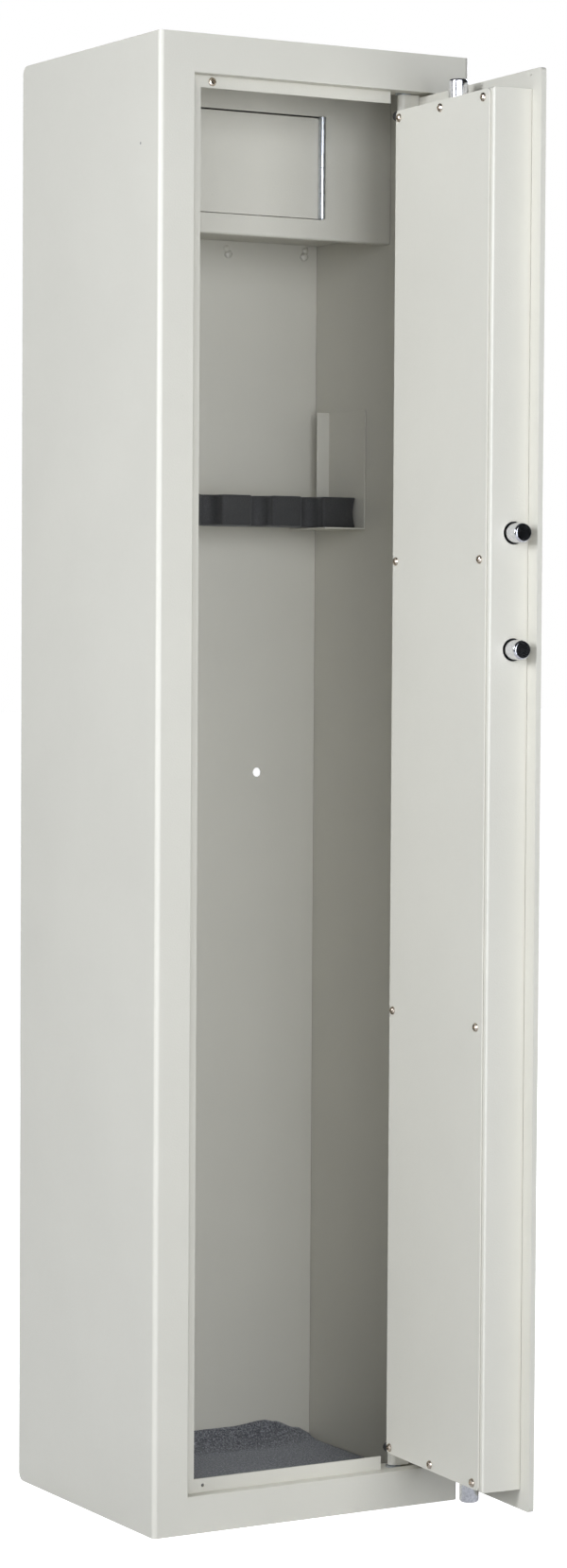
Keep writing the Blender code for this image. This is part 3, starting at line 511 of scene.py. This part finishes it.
# ---- stage, light and camera ----------------------------------------------------------------------
def studio_floor():
    bm = bmesh.new()
    bmesh.ops.create_grid(bm, x_segments=24, y_segments=24, size=30.0)
    mesh = bpy.data.meshes.new("studio_floor")
    bm.to_mesh(mesh)
    bm.free()
    floor = bpy.data.objects.new("studio_floor", mesh)
    bpy.context.scene.collection.objects.link(floor)
    floor.location = (0.0, 0.0, -0.0005)
    s = Shader("studio_floor", (0.60, 0.60, 0.60), 0.9, 0.0, 0.1)
    path = s.add("ShaderNodeLightPath")
    glow = s.add("ShaderNodeMath", operation="MULTIPLY")
    s.link(path.outputs["Is Camera Ray"], glow.inputs[0])
    glow.inputs[1].default_value = 1.0
    s.set("Emission Color", (1.0, 1.0, 1.0, 1.0))
    s.feed("Emission Strength", glow.outputs["Value"])
    floor.data.materials.append(s.mat)


def studio_world():
    """White to the eye; a very weak dome for light, fading to black towards the front right."""
    world = bpy.data.worlds.new("studio")
    bpy.context.scene.world = world
    world.use_nodes = True
    tree = world.node_tree
    tree.nodes.clear()
    out = tree.nodes.new("ShaderNodeOutputWorld")
    eye = tree.nodes.new("ShaderNodeBackground")
    eye.inputs["Color"].default_value = (1.0, 1.0, 1.0, 1.0)
    eye.inputs["Strength"].default_value = 1.0
    dome = tree.nodes.new("ShaderNodeBackground")
    dome.inputs["Strength"].default_value = 0.060
    coords = tree.nodes.new("ShaderNodeTexCoord")
    toward = tree.nodes.new("ShaderNodeVectorMath")
    toward.operation = "DOT_PRODUCT"
    toward.inputs[1].default_value = Vector((0.42, -0.90, -0.05)).normalized()
    tree.links.new(coords.outputs["Generated"], toward.inputs[0])
    ramp = tree.nodes.new("ShaderNodeValToRGB")
    ramp.color_ramp.elements[0].position = 0.0
    ramp.color_ramp.elements[0].color = (*LIGHT_TINT, 1.0)
    ramp.color_ramp.elements[1].position = 0.95
    ramp.color_ramp.elements[1].color = (0.0, 0.0, 0.0, 1.0)
    tree.links.new(toward.outputs["Value"], ramp.inputs["Fac"])
    tree.links.new(ramp.outputs["Color"], dome.inputs["Color"])
    path = tree.nodes.new("ShaderNodeLightPath")
    mix = tree.nodes.new("ShaderNodeMixShader")
    tree.links.new(path.outputs["Is Camera Ray"], mix.inputs["Fac"])
    tree.links.new(dome.outputs["Background"], mix.inputs[1])
    tree.links.new(eye.outputs["Background"], mix.inputs[2])
    tree.links.new(mix.outputs["Shader"], out.inputs["Surface"])


def softbox(name, place, target, width, height, power):
    light = bpy.data.lights.new(name, "AREA")
    light.color = LIGHT_TINT
    light.shape = "RECTANGLE"
    light.size = width
    light.size_y = height
    light.energy = power
    obj = bpy.data.objects.new(name, light)
    bpy.context.scene.collection.objects.link(obj)
    obj.location = place
    obj.rotation_euler = (Vector(target) - Vector(place)).to_track_quat("-Z", "Y").to_euler()


def camera():
    """From the front left, a little above mid height and turned a touch down, with a long lens."""
    azimuth, elevation, roll = math.radians(-30.18), math.radians(-2.47), math.radians(0.348)
    level = math.cos(elevation)
    ahead = Vector((-math.sin(azimuth) * level, math.cos(azimuth) * level, math.sin(elevation)))
    side = ahead.cross(Vector((0.0, 0.0, 1.0))).normalized()
    above = side.cross(ahead)
    right = side * math.cos(roll) + above * math.sin(roll)
    up = right.cross(ahead)
    data = bpy.data.cameras.new("camera")
    data.sensor_width = 36.0
    data.lens = 87.03
    data.clip_start = 0.05
    data.clip_end = 100.0
    obj = bpy.data.objects.new("camera", data)
    bpy.context.scene.collection.objects.link(obj)
    turn = Matrix((right, up, -ahead)).transposed().to_4x4()
    obj.matrix_world = Matrix.Translation((-1.9609, -3.4629, 0.9195)) @ turn
    bpy.context.scene.camera = obj


studio_floor()
studio_world()
softbox("key_light", (-0.60, -3.55, 1.20), (0.0, 0.0, 0.90), 2.4, 2.0, 69.0)
softbox("key_edge_light", (-1.05, -3.44, 1.20), (0.0, 0.0, 0.90), 0.5, 1.0, 16.0)
softbox("front_left_light", (-2.05, -2.75, 1.55), (0.0, 0.0, 0.90), 1.2, 1.4, 22.0)
softbox("left_light", (-2.80, -0.70, 1.75), (0.0, -0.1, 0.95), 0.9, 1.4, 74.0)
softbox("right_back_light", (2.60, 1.90, 1.80), (0.0, 0.0, 0.85), 1.6, 1.8, 60.0)
softbox("back_light", (0.65, 3.40, 1.80), (0.0, 0.0, 0.85), 1.4, 1.8, 55.0)
camera()
bpy.context.scene.view_settings.view_transform = "Standard"
bpy.context.scene.view_settings.look = "None"
